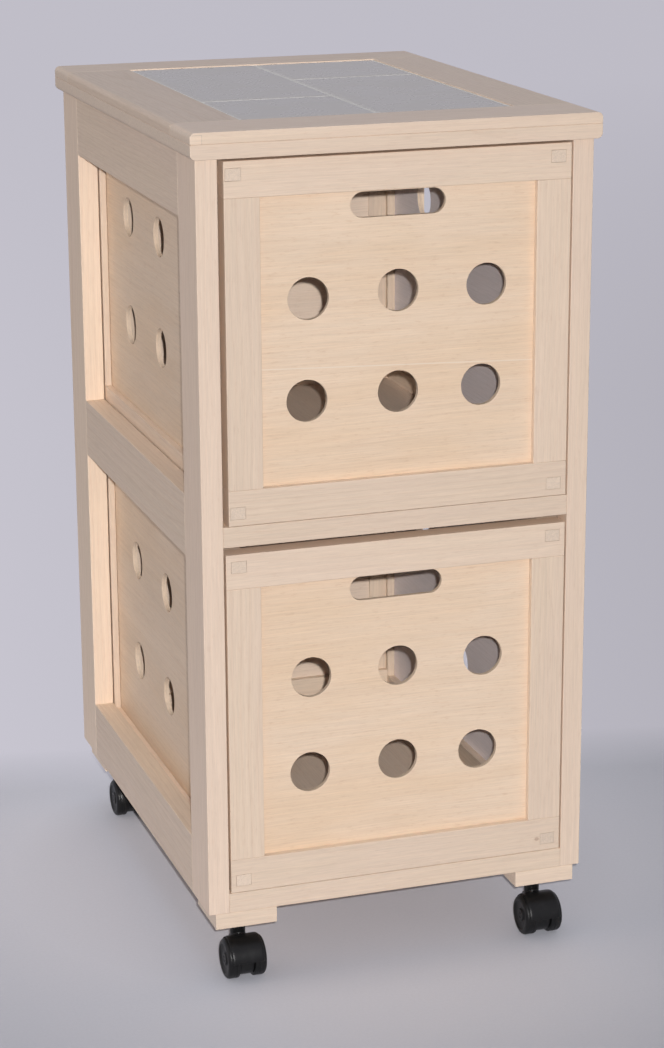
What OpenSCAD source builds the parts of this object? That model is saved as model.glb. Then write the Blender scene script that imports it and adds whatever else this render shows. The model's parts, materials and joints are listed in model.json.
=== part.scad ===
// Vegetable bin cabinet on casters: an open wooden frame with a tiled top
// and two pull-out bins, each a framed box with vent holes and a hand slot.
// +Z is up, -Y is the front, and the origin is on the floor under the centre.

/* [Top] */
// Width of the top
top_w = 300; // [280:1:340]
// Depth of the top
top_d = 400; // [380:1:440]
// Thickness of the lower board of the top
board_t = 10.5; // [8:0.5:16]
// Thickness of the frame round the tiles
frame_t = 8; // [7.5:0.5:12]
// Rounding along the two long sides of the top
edge_r = 4; // [2:0.5:5]
// Edge of a square tile; a long tile covers two of them and their joint
tile = 98; // [80:1:104]
// Thickness of a tile
tile_t = 6; // [4:0.5:6.5]
// Width of the grouted joint round each tile
tile_joint = 2.5; // [1:0.1:3]
// Sideways place of the tiles from the middle of the top
tile_shift_x = 2; // [-5:0.5:5]
// Place of the tiles from the middle of the top, towards the back
tile_shift_y = 3.5; // [-5:0.5:5]
// Depth of the tile faces below the wooden frame
tile_drop = 0.4; // [0:0.1:1]
// Depth of the grout below the wooden frame
grout_drop = 1; // [0.5:0.1:2]

/* [Frame] */
// Overhang of the top at each side
overhang_side = 4.5; // [1:0.5:12]
// Overhang of the top at the front
overhang_front = 5; // [4.5:0.5:12]
// Overhang of the top at the back
overhang_back = 8; // [2:0.5:15]
// Thickness of the posts and side rails
post_t = 15.5; // [13:0.5:16]
// Width of the posts
post_w = 45; // [35:1:55]
// Height of the side rails
side_rail_h = 45.5; // [35:0.5:55]
// Drop of the middle side rails' foot below the middle front rail's
side_mid_drop = 16; // [8:0.5:25]
// Height of the two front rails, which lie flat
front_rail_h = 15; // [12:0.5:20]
// Depth of the two front rails
front_rail_d = 45; // [30:1:55]
// Thickness of the back rails
back_rail_t = 15.5; // [10:0.5:18]
// Width of the runners that the bins slide on
runner_w = 18; // [12:0.5:24]

/* [Bins] */
// Height of a bin
bin_h = 256; // [230:0.5:280]
// Gap above the upper bin
upper_gap = 2.3; // [0.8:0.1:6]
// Gap above the lower bin
lower_gap = 5.6; // [0.8:0.1:10]
// Gap between a bin and the back rails
back_gap = 14.5; // [2:0.5:30]
// Gap between a bin and the posts at each side, behind its front
side_gap = 1; // [0.8:0.1:3]
// Gap to the left of the upper bin's front
upper_gap_left = 4.3; // [0.5:0.1:5]
// Gap to the right of the upper bin's front
upper_gap_right = 1.2; // [0.5:0.1:5]
// Gap to the left of the lower bin's front
lower_gap_left = 1.6; // [0.5:0.1:5]
// Gap to the right of the lower bin's front
lower_gap_right = 1.2; // [0.5:0.1:5]
// Thickness of the wood strips that frame a bin
strip_t = 16; // [13:0.5:18]
// Width of the wood strips that frame a bin
strip_w = 25.5; // [20:0.5:30]
// Width of the two uprights beside a bin's back panel
back_stile_w = 15; // [10:0.5:25]
// Depth of the two uprights beside a bin's back panel
back_stile_t = 12; // [9:0.5:14]
// Height of the strip below a bin's back panel
back_low_h = 31.5; // [20:0.5:36]
// Thickness of the plywood panels
ply_t = 4; // [3:0.5:6]
// Depth of the front panel's face inside its frame
front_panel_set = 5.5; // [3:0.5:8]
// Depth of the side panels' faces inside their frames
side_panel_set = 5.5; // [3:0.5:8]
// Depth of the grooves that hold the panels
groove = 4; // [3:0.5:6]
// Width of the tenons that join the side strips to the front
tenon_w = 11; // [6:0.5:12]
// Height of the tenons
tenon_h = 8.5; // [5:0.5:10]
// Shift of the tenons from the middle of the side strips, inwards
tenon_in = 2; // [1.5:0.1:2.4]
// Shift of the tenons from the middle of their strips, away from the bin's mid-height
tenon_out = 3.5; // [0:0.5:5]
// Height of the floor's underside above the foot of a bin
floor_z = 8; // [5:0.5:12]

/* [Holes] */
// Diameter of a vent hole
hole_d = 30; // [15:0.5:40]
// Spacing of the holes in the upper front row
front_pitch_high = 66; // [45:0.5:72]
// Spacing from the middle to the left hole in the lower front row
front_pitch_low_left = 67.5; // [45:0.5:72]
// Spacing from the middle to the right hole in the lower front row
front_pitch_low_right = 62.5; // [45:0.5:72]
// Spacing of the two front rows
front_pitch_z = 72.5; // [50:0.5:80]
// Height of the lower front row above the foot of a bin
front_hole_z = 86; // [60:0.5:100]
// Spacing of the side vent holes along the bin
side_pitch_y = 90; // [60:1:100]
// Shift of the side vent holes from the middle, towards the back
side_hole_shift = 4.5; // [-8:0.5:8]
// Spacing of the two side rows
side_pitch_z = 84.5; // [60:0.5:95]
// Height of the lower side row above the foot of a bin
side_hole_z = 89; // [60:0.5:100]
// Drop of the left hole of each front row below the other two
front_hole_drop = 1.5; // [0:0.5:4]
// Shift of the lower front's holes from its middle, to the right
lower_hole_shift = 1.5; // [-3:0.5:3]
// Length of the hand slot
slot_w = 70; // [50:1:100]
// Height of the hand slot
slot_h = 18; // [14:0.5:25]
// Gap between the hand slot and the upper front rail
slot_gap = 1.5; // [0.5:0.5:10]

/* [Casters] */
// Height from the floor to the caster blocks
caster_h = 44; // [42:0.5:60]
// Thickness of the caster blocks
block_t = 12; // [10:0.5:20]
// Width of a caster block
block_w = 46.5; // [36:0.5:60]
// Depth of a caster block
block_d = 49; // [36:0.5:60]
// Inset of the blocks from the sides and the back of the cabinet
block_inset = 5; // [0:0.5:15]
// Radius of a caster wheel
wheel_r = 15; // [12:0.5:15.5]
// Width of one caster wheel
wheel_w = 9.2; // [6:0.1:11]
// Width of the hood's web between the wheels
web_w = 10.4; // [8:0.1:14]
// Distance of the wheels from the swivel's axis
trail = 13; // [9.5:0.5:13]
// Thickness of the hood over the wheels
hood_t = 1; // [0.8:0.1:1.4]
// Inset of the hood's sides from the wheels' outer faces
hood_inset = 0.6; // [0.3:0.1:1]
// Height of the hood's lower edge above the axle
hood_foot = 1; // [0.5:0.1:3]
// Rounding of the hood's shoulders
shoulder_r = 4; // [1:0.5:6]
// Reach of the hood's web below the axle, and of its collar above it
neck_reach = 4; // [3:0.5:6]
// Radius of the swivel pin
pin_r = 3.5; // [2.5:0.1:4]
// Reach of the swivel pin below the axle
pin_reach = 2; // [0.5:0.5:2.5]
// Radius of the collar round the swivel pin
collar_r = 5.7; // [5:0.1:8]
// Depth of the swivel pin in its block
pin_in_block = 9; // [5:0.5:9.5]
// Rounding of a wheel's outer edge
wheel_round = 2.6; // [1:0.1:4]
// Radius of a wheel's hub
hub_r = 5; // [3:0.5:6]
// Width of the rim round a wheel's dished face
rim_w = 1.2; // [0.5:0.1:2]
// Depth of the dish in a wheel's outer face
dish_depth = 1.2; // [0.5:0.1:3]
// Radius of the wheel axle
axle_r = 2; // [1.5:0.1:3]
// Inset of the axle's ends from the wheels' outer faces
axle_inset = 0.5; // [0.2:0.1:1]

/* [Fits] */
// Running clearance of pins and axles, on the radius
run_fit = 0.05; // [0.02:0.01:0.1]
// Clearance between sliding or turning faces
face_fit = 0.3; // [0.3:0.1:0.4]
// Clearance round a panel in its groove, a tenon in its mortise and at a back upright's ends
panel_fit = 0.2; // [0.1:0.1:0.4]
// Clearance round a wheel in the hood
well_fit = 0.4; // [0.3:0.1:0.8]

/* [Hidden] */
$fn = 64;

LEFT = -1;
RIGHT = 1;
FRONT = -1;
BACK = 1;
UP = 1;
DOWN = -1;

// Overlap of cutters past the faces that they cut
cut = 1;

// Heights
block_z = caster_h;
base_z = block_z + block_t;
lower_bin_z = base_z + front_rail_h + face_fit;
front_mid_z = lower_bin_z + bin_h + lower_gap;
upper_bin_z = front_mid_z + front_rail_h + face_fit;
board_z = upper_bin_z + bin_h + upper_gap;
frame_z = board_z + board_t;
top_z = frame_z + frame_t;
post_h = board_z - base_z;
rail_top_z = board_z - side_rail_h;
rail_mid_z = front_mid_z - side_mid_drop;

// Plan of the cabinet
front_y = overhang_front - top_d / 2;
back_y = top_d / 2 - overhang_back;
outer_x = top_w / 2 - overhang_side;
inner_x = outer_x - post_t;
post_back_y = back_y - post_w;
side_rail_d = back_y - front_y - 2 * post_w;

// Tile field
long_tile = 2 * tile + tile_joint;
field_w = 2 * tile + 3 * tile_joint;
field_d = tile + long_tile + 3 * tile_joint;
field_x = tile_shift_x - field_w / 2;
field_y = tile_shift_y - field_d / 2;
tile_z = top_z - tile_drop - tile_t;

// Plan of a bin
bin_back_y = back_y - back_rail_t - back_gap;
box_y = front_y + strip_t;
box_d = bin_back_y - box_y;
bin_out_x = inner_x - side_gap;
bin_in_x = bin_out_x - strip_t;
upper_front_w = 2 * inner_x - upper_gap_left - upper_gap_right;
upper_front_dx = (upper_gap_left - upper_gap_right) / 2;
lower_front_w = 2 * inner_x - lower_gap_left - lower_gap_right;
lower_front_dx = (lower_gap_left - lower_gap_right) / 2;
rear_post_y = bin_back_y - strip_t;
stile_h = bin_h - 2 * strip_w;
back_stile_h = bin_h - strip_w - back_low_h;
slot_z = bin_h - strip_w - slot_gap - slot_h / 2;
side_mid_y = (box_y + rear_post_y) / 2 + side_hole_shift;
tenon_x = bin_in_x + strip_t / 2 - tenon_in;

// Casters
caster_x = outer_x - block_inset - block_w / 2;
caster_front_y = front_y + block_d / 2;
caster_back_y = back_y - block_inset - block_d / 2;
well_r = wheel_r + well_fit;
hood_r = well_r + hood_t;
wheel_in_x = web_w / 2 + face_fit;
wheel_out_x = wheel_in_x + wheel_w;
hood_half_w = wheel_out_x - hood_inset;
pin_z = wheel_r - pin_reach;

WOOD = [0.93, 0.82, 0.68];
PLY = [0.91, 0.78, 0.62];
TILE = [0.62, 0.65, 0.66];
GROUT = [0.84, 0.84, 0.82];
BLACK = [0.07, 0.07, 0.08];
STEEL = [0.7, 0.7, 0.72];

// A box from its low corner
module board(pos, size) {
  translate(pos) cube(size);
}

// ---- Top ----

// Cross-section, across X, of a slab with its two bottom corners rounded
module slab_section(w, t, r) {
  union() {
    translate([-w / 2 + r, 0]) square([w - 2 * r, t]);
    translate([-w / 2, r]) square([w, t - r]);
    for (s = [LEFT, RIGHT])
      translate([s * (w / 2 - r), r]) circle(r);
  }
}

// The section, run along Y; flipped, it has its top corners rounded
module slab(y, w, d, t, r, flipped = false) {
  translate([0, y + d, 0])
    rotate([90, 0, 0])
      linear_extrude(d)
        translate([0, flipped ? t : 0])
          mirror([0, flipped ? 1 : 0])
            slab_section(w, t, r);
}

module top_board() {
  color(WOOD)
    translate([0, 0, board_z])
      slab(-top_d / 2, top_w, top_d, board_t, edge_r);
}

// A board of the tile frame that runs the whole width, between two places in Y
module top_cross_rail(low_y, high_y) {
  color(WOOD)
    translate([0, 0, frame_z])
      slab(low_y, top_w, high_y - low_y, frame_t, edge_r, flipped = true);
}

// A board of the tile frame between the two cross rails
module top_side_rail(side) {
  low_x = side > 0 ? field_x + field_w : -top_w / 2;
  high_x = side > 0 ? top_w / 2 : field_x;
  color(WOOD)
    translate([0, 0, frame_z])
      intersection() {
        slab(field_y, top_w, field_d, frame_t, edge_r, flipped = true);
        board([low_x, field_y, 0], [high_x - low_x, field_d, frame_t]);
      }
}

// Places of the four tiles: a long and a square one on each side
tile_left_x = field_x + tile_joint;
tile_right_x = tile_left_x + tile + tile_joint;
tile_low = field_y + tile_joint;

module tile_body(x, y, length) {
  color(TILE) board([x, y, tile_z], [tile, length, tile_t]);
}

module tile_grout() {
  color(GROUT)
    difference() {
      board([field_x, field_y, frame_z], [field_w, field_d, frame_t - grout_drop]);
      tile_left_square();
      tile_left_long();
      tile_right_long();
      tile_right_square();
    }
}

module tile_left_square() tile_body(tile_left_x, tile_low, tile);
module tile_left_long() tile_body(tile_left_x, tile_low + tile + tile_joint, long_tile);
module tile_right_long() tile_body(tile_right_x, tile_low, long_tile);
module tile_right_square() tile_body(tile_right_x, tile_low + long_tile + tile_joint, tile);

// ---- Frame ----

module post(side, end) {
  x = side > 0 ? inner_x : -outer_x;
  y = end > 0 ? post_back_y : front_y;
  color(WOOD) board([x, y, base_z], [post_t, post_w, post_h]);
}

module side_rail(side, z) {
  x = side > 0 ? inner_x : -outer_x;
  color(WOOD) board([x, front_y + post_w, z], [post_t, side_rail_d, side_rail_h]);
}

module front_rail(z) {
  color(WOOD) board([-inner_x, front_y, z], [2 * inner_x, front_rail_d, front_rail_h]);
}

module back_rail(z) {
  color(WOOD) board([-inner_x, back_y - back_rail_t, z], [2 * inner_x, back_rail_t, side_rail_h]);
}

// Strips on the inner faces of the side frames, level with the front rails
module bin_runners() {
  run_y = front_y + front_rail_d;
  run_d = back_y - back_rail_t - run_y;
  color(WOOD)
    for (z = [base_z, front_mid_z])
      for (side = [LEFT, RIGHT])
        board([side > 0 ? inner_x - runner_w : -inner_x, run_y, z], [runner_w, run_d, front_rail_h]);
}

// ---- Casters ----

// Draws its children at each caster's swivel axis
module at_casters() {
  for (side = [LEFT, RIGHT])
    for (y = [caster_front_y, caster_back_y])
      translate([side * caster_x, y, 0]) children();
}

module caster_blocks() {
  color(WOOD)
    at_casters()
      difference() {
        board([-block_w / 2, -block_d / 2, block_z], [block_w, block_d, block_t]);
        translate([0, 0, block_z - cut]) cylinder(r = pin_r, h = pin_in_block + cut);
      }
}

module caster_pins() {
  color(STEEL)
    at_casters()
      translate([0, 0, pin_z]) cylinder(r = pin_r, h = block_z + pin_in_block - pin_z);
}

// A round bar along X, centred on the swivel axis in X
module bar_x(r, length) {
  rotate([0, 90, 0]) cylinder(r = r, h = length, center = true);
}

// Half-profile of the cover over the wheels, with rounded shoulders
module cover_profile() {
  flat = hood_half_w - shoulder_r;
  translate([0, -hood_half_w]) square([hood_r - shoulder_r, 2 * hood_half_w]);
  translate([0, -flat]) square([hood_r, 2 * flat]);
  for (s = [LEFT, RIGHT])
    translate([hood_r - shoulder_r, s * flat]) circle(shoulder_r);
}

// Hood: a web between the wheels, a cover over them and a collar for the pin
module caster_hood(side, y) {
  color(BLACK)
    translate([side * caster_x, y, 0])
      difference() {
        union() {
          intersection() {
            translate([0, -trail, wheel_r]) rotate([0, 90, 0]) rotate_extrude() cover_profile();
            board([-wheel_out_x, -trail - hood_r, wheel_r + hood_foot],
              [2 * wheel_out_x, 2 * hood_r, hood_r]);
          }
          translate([0, -trail, wheel_r]) bar_x(wheel_r - neck_reach / 2, web_w);
          board([-web_w / 2, -trail, wheel_r - neck_reach],
            [web_w, trail + collar_r, wheel_r]);
          translate([0, 0, wheel_r + neck_reach])
            cylinder(r = collar_r, h = block_z - face_fit - wheel_r - neck_reach);
        }
        for (s = [LEFT, RIGHT])
          translate([s * (web_w / 2 + wheel_out_x), -trail, wheel_r]) bar_x(well_r, 2 * wheel_out_x);
        translate([0, -trail, wheel_r]) bar_x(axle_r + run_fit, 2 * web_w);
        translate([0, 0, pin_z - face_fit])
          cylinder(r = pin_r + run_fit, h = block_z + cut - pin_z);
      }
}

// Half-profile of a wheel, fast on its axle: rounded tread edge and dished outer face
module wheel_profile() {
  difference() {
    union() {
      square([wheel_r - wheel_round, wheel_w]);
      square([wheel_r, wheel_w - wheel_round]);
      translate([wheel_r - wheel_round, wheel_w - wheel_round]) circle(wheel_round);
    }
    translate([hub_r, wheel_w - dish_depth])
      square([wheel_r - wheel_round - rim_w - hub_r, dish_depth + cut]);
  }
}

// Two wheels on one axle
module caster_wheels(side, y) {
  translate([side * caster_x, y - trail, wheel_r]) {
    color(BLACK)
      for (s = [LEFT, RIGHT])
        rotate([0, s * 90, 0])
          translate([0, 0, wheel_in_x]) rotate_extrude() wheel_profile();
    color(STEEL) bar_x(axle_r, 2 * (wheel_out_x - axle_inset));
  }
}

// ---- Bins ----
// Each bin part takes the height of the bin's foot and, at the front, its width.

// The groove for a panel of the given box, with its clearance
module groove_for(pos, size) {
  fit = [panel_fit, panel_fit, panel_fit];
  board(pos - fit, size + 2 * fit);
}

// Box of the front panel: low corner and size
function front_panel_pos(z, w, dx) = [
  dx - w / 2 + strip_w - groove,
  front_y + front_panel_set,
  z + strip_w - groove
];
function front_panel_size(w) = [w - 2 * (strip_w - groove), ply_t, stile_h + 2 * groove];

// Box of the back panel
function back_panel_pos(z) = [
  -bin_in_x + back_stile_w - groove,
  rear_post_y + (strip_t - ply_t) / 2,
  z + back_low_h - groove
];
back_panel_size = [2 * (bin_in_x - back_stile_w + groove), ply_t, back_stile_h + 2 * groove];

// Box of a side panel
function side_panel_pos(side, z) = [
  side > 0 ? bin_out_x - side_panel_set - ply_t : side_panel_set - bin_out_x,
  box_y,
  z + strip_w - groove
];
side_panel_size = [ply_t, rear_post_y - box_y + groove, stile_h + 2 * groove];

// Box of the floor, which is let into the lower strips
function floor_pos(z) = [-bin_in_x - groove, box_y, z + floor_z];
floor_size = [2 * (bin_in_x + groove), rear_post_y - box_y + groove, ply_t];

// A tenon at a side strip's front end, through the front's cross rail, or its mortise;
// end is UP for the strips at the top of a bin and DOWN for those at its foot
module tenon(side, end, z, fit) {
  tenon_z = z + (strip_w - tenon_h) / 2 + end * tenon_out;
  start = fit > 0 ? cut : 0;
  board([side * tenon_x - tenon_w / 2 - fit, front_y - start, tenon_z - fit],
    [tenon_w + 2 * fit, strip_t + cut + start, tenon_h + 2 * fit]);
}

module front_panel(z, w, dx, hole_shift) {
  low = [-front_pitch_low_left, 0, front_pitch_low_right];
  high = [-front_pitch_high, 0, front_pitch_high];
  pos = front_panel_pos(z, w, dx);
  size = front_panel_size(w);
  color(PLY)
    difference() {
      board(pos, size);
      for (row = [0, 1])
        for (x = row == 0 ? low : high)
          translate([dx + hole_shift + x, pos[1] - cut,
              z + front_hole_z + row * front_pitch_z - (x < 0 ? front_hole_drop : 0)])
            rotate([-90, 0, 0]) cylinder(d = hole_d, h = ply_t + 2 * cut);
      for (s = [LEFT, RIGHT])
        translate([dx + s * (slot_w - slot_h) / 2, pos[1] - cut, z + slot_z])
          rotate([-90, 0, 0]) cylinder(d = slot_h, h = ply_t + 2 * cut);
      board([dx - (slot_w - slot_h) / 2, pos[1] - cut, z + slot_z - slot_h / 2],
        [slot_w - slot_h, ply_t + 2 * cut, slot_h]);
    }
}

module front_stile(z, w, dx, side) {
  x = side > 0 ? dx + w / 2 - strip_w : dx - w / 2;
  color(WOOD)
    difference() {
      board([x, front_y, z + strip_w], [strip_w, strip_t, stile_h]);
      groove_for(front_panel_pos(z, w, dx), front_panel_size(w));
    }
}

module front_cross_rail(z, w, dx, end) {
  rail_z = end == UP ? bin_h - strip_w : 0;
  color(WOOD)
    difference() {
      board([dx - w / 2, front_y, z + rail_z], [w, strip_t, strip_w]);
      groove_for(front_panel_pos(z, w, dx), front_panel_size(w));
      for (side = [LEFT, RIGHT]) tenon(side, end, z + rail_z, panel_fit);
    }
}

// Low corner of a bin's left or right strips in X
function strip_x(side) = side > 0 ? bin_in_x : -bin_in_x - strip_t;

// A lower and an upper strip along each side, with their tenons
module side_rails(z) {
  color(WOOD)
    for (side = [LEFT, RIGHT])
      for (end = [DOWN, UP])
        difference() {
          rail_z = end == UP ? z + bin_h - strip_w : z;
          union() {
            board([strip_x(side), box_y, rail_z], [strip_t, box_d, strip_w]);
            tenon(side, end, rail_z, 0);
          }
          groove_for(side_panel_pos(side, z), side_panel_size);
          groove_for(floor_pos(z), floor_size);
        }
}

// An upright between the side strips at each back corner
module rear_posts(z) {
  color(WOOD)
    for (side = [LEFT, RIGHT])
      difference() {
        board([strip_x(side), rear_post_y, z + strip_w], [strip_t, strip_t, stile_h]);
        groove_for(side_panel_pos(side, z), side_panel_size);
      }
}

module side_panel(z, side) {
  pos = side_panel_pos(side, z);
  color(PLY)
    difference() {
      board(pos, side_panel_size);
      for (row = [side_hole_z, side_hole_z + side_pitch_z])
        for (i = [-1:1])
          translate([pos[0] - cut, side_mid_y + i * side_pitch_y, z + row])
            rotate([0, 90, 0]) cylinder(d = hole_d, h = ply_t + 2 * cut);
    }
}

// Back frame, between the side strips: two cross strips, and two uprights between them
module back_frame(z) {
  color(WOOD) {
    for (rail = [[z, back_low_h], [z + bin_h - strip_w, strip_w]])
      difference() {
        board([-bin_in_x, rear_post_y, rail[0]], [2 * bin_in_x, strip_t, rail[1]]);
        groove_for(back_panel_pos(z), back_panel_size);
        groove_for(floor_pos(z), floor_size);
      }
    for (low_x = [-bin_in_x, bin_in_x - back_stile_w])
      difference() {
        board([low_x, bin_back_y - back_stile_t, z + back_low_h + panel_fit],
          [back_stile_w, back_stile_t, back_stile_h - 2 * panel_fit]);
        groove_for(back_panel_pos(z), back_panel_size);
      }
  }
}

module back_panel(z) {
  color(PLY) board(back_panel_pos(z), back_panel_size);
}

module bin_floor(z) {
  color(PLY) board(floor_pos(z), floor_size);
}

// ---- The sub-parts, one line each ----

top_board();
top_cross_rail(-top_d / 2, field_y);  // top_rail_front
top_cross_rail(field_y + field_d, top_d / 2);  // top_rail_back
top_side_rail(LEFT);  // top_rail_left
top_side_rail(RIGHT);  // top_rail_right
tile_grout();
tile_left_long();
tile_left_square();
tile_right_square();
tile_right_long();
post(LEFT, FRONT);  // post_front_left
post(RIGHT, FRONT);  // post_front_right
post(LEFT, BACK);  // post_back_left
post(RIGHT, BACK);  // post_back_right
side_rail(LEFT, rail_top_z);  // side_rail_left_top
side_rail(LEFT, rail_mid_z);  // side_rail_left_middle
side_rail(LEFT, base_z);  // side_rail_left_bottom
side_rail(RIGHT, rail_top_z);  // side_rail_right_top
side_rail(RIGHT, rail_mid_z);  // side_rail_right_middle
side_rail(RIGHT, base_z);  // side_rail_right_bottom
front_rail(front_mid_z);  // front_rail_middle
front_rail(base_z);  // front_rail_bottom
back_rail(rail_top_z);  // back_rail_top
back_rail(rail_mid_z);  // back_rail_middle
back_rail(base_z);  // back_rail_bottom
bin_runners();
caster_blocks();
caster_pins();

u_z = upper_bin_z;
u_w = upper_front_w;
u_dx = upper_front_dx;
front_stile(u_z, u_w, u_dx, LEFT);  // upper_front_stile_left
front_stile(u_z, u_w, u_dx, RIGHT);  // upper_front_stile_right
front_cross_rail(u_z, u_w, u_dx, UP);  // upper_front_rail_top
front_cross_rail(u_z, u_w, u_dx, DOWN);  // upper_front_rail_bottom
front_panel(u_z, u_w, u_dx, 0);  // upper_front_panel
side_rails(u_z);  // upper_side_rails
rear_posts(u_z);  // upper_rear_posts
side_panel(u_z, LEFT);  // upper_side_panel_left
side_panel(u_z, RIGHT);  // upper_side_panel_right
back_frame(u_z);  // upper_back_frame
back_panel(u_z);  // upper_back_panel
bin_floor(u_z);  // upper_floor

l_z = lower_bin_z;
l_w = lower_front_w;
l_dx = lower_front_dx;
front_stile(l_z, l_w, l_dx, LEFT);  // lower_front_stile_left
front_stile(l_z, l_w, l_dx, RIGHT);  // lower_front_stile_right
front_cross_rail(l_z, l_w, l_dx, UP);  // lower_front_rail_top
front_cross_rail(l_z, l_w, l_dx, DOWN);  // lower_front_rail_bottom
front_panel(l_z, l_w, l_dx, lower_hole_shift);  // lower_front_panel
side_rails(l_z);  // lower_side_rails
rear_posts(l_z);  // lower_rear_posts
side_panel(l_z, LEFT);  // lower_side_panel_left
side_panel(l_z, RIGHT);  // lower_side_panel_right
back_frame(l_z);  // lower_back_frame
back_panel(l_z);  // lower_back_panel
bin_floor(l_z);  // lower_floor

caster_hood(LEFT, caster_front_y);  // caster_hood_front_left
caster_hood(RIGHT, caster_front_y);  // caster_hood_front_right
caster_hood(LEFT, caster_back_y);  // caster_hood_back_left
caster_hood(RIGHT, caster_back_y);  // caster_hood_back_right
caster_wheels(LEFT, caster_front_y);  // caster_wheels_front_left
caster_wheels(RIGHT, caster_front_y);  // caster_wheels_front_right
caster_wheels(LEFT, caster_back_y);  // caster_wheels_back_left
caster_wheels(RIGHT, caster_back_y);  // caster_wheels_back_right
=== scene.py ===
"""Looks of a vegetable bin cabinet: pale wood boards, veneered panels, a tiled top and twin-wheel casters."""

import json
import math
import random

import bmesh
import bpy
from mathutils import Matrix, Vector


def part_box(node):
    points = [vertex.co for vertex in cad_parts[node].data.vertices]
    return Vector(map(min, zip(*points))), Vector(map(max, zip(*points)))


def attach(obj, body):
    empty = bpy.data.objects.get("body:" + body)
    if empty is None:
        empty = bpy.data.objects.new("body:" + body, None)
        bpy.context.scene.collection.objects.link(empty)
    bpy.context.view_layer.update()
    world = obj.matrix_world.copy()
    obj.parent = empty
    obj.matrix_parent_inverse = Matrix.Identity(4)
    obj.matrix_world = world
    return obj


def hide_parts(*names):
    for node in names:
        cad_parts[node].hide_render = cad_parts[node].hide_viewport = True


MM = 0.001
WELD = 1e-6  # corners nearer than this are one
AXES = (Vector((1, 0, 0)), Vector((0, 1, 0)), Vector((0, 0, 1)))

bpy.context.scene.view_settings.view_transform = "Standard"
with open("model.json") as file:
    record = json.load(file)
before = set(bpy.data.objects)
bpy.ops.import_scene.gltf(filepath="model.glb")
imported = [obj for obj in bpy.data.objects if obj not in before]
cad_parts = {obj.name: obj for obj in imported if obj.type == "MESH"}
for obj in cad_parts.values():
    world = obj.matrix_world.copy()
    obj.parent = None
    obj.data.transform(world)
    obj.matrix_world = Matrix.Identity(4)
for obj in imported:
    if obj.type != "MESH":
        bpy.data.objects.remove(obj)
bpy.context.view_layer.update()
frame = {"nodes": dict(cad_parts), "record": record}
NODES = frame["nodes"]
BODY_OF = {node: body for body, nodes in frame["record"]["behaviour"]["bodies"].items() for node in nodes}


# ---- Camera ----

PHOTO_SIZE = (664, 1048)
FOCAL_PX = 2744.2
SENSOR_MM = 36
CAMERA_AT = Vector((-636.8, -1962.5, 886.7)) * MM
VIEW_AZIMUTH = math.radians(-18.366)
VIEW_ELEVATION = math.radians(16.27)
VIEW_ROLL = math.radians(-0.326)


def make_camera():
    """A camera at the photograph's place; its sensor is as wide as the picture's long side."""
    data = bpy.data.cameras.new("camera")
    data.sensor_width = SENSOR_MM
    data.lens = SENSOR_MM * FOCAL_PX / max(PHOTO_SIZE)
    camera = bpy.data.objects.new("camera", data)
    bpy.context.scene.collection.objects.link(camera)
    bpy.context.scene.camera = camera
    back = Vector((math.sin(VIEW_AZIMUTH) * math.cos(VIEW_ELEVATION),
                   -math.cos(VIEW_AZIMUTH) * math.cos(VIEW_ELEVATION),
                   math.sin(VIEW_ELEVATION)))
    turn = (-back).to_track_quat("-Z", "Y").to_matrix() @ Matrix.Rotation(VIEW_ROLL, 3, "Z")
    camera.matrix_world = Matrix.Translation(CAMERA_AT) @ turn.to_4x4()


make_camera()


# ---- Node helpers ----

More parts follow.
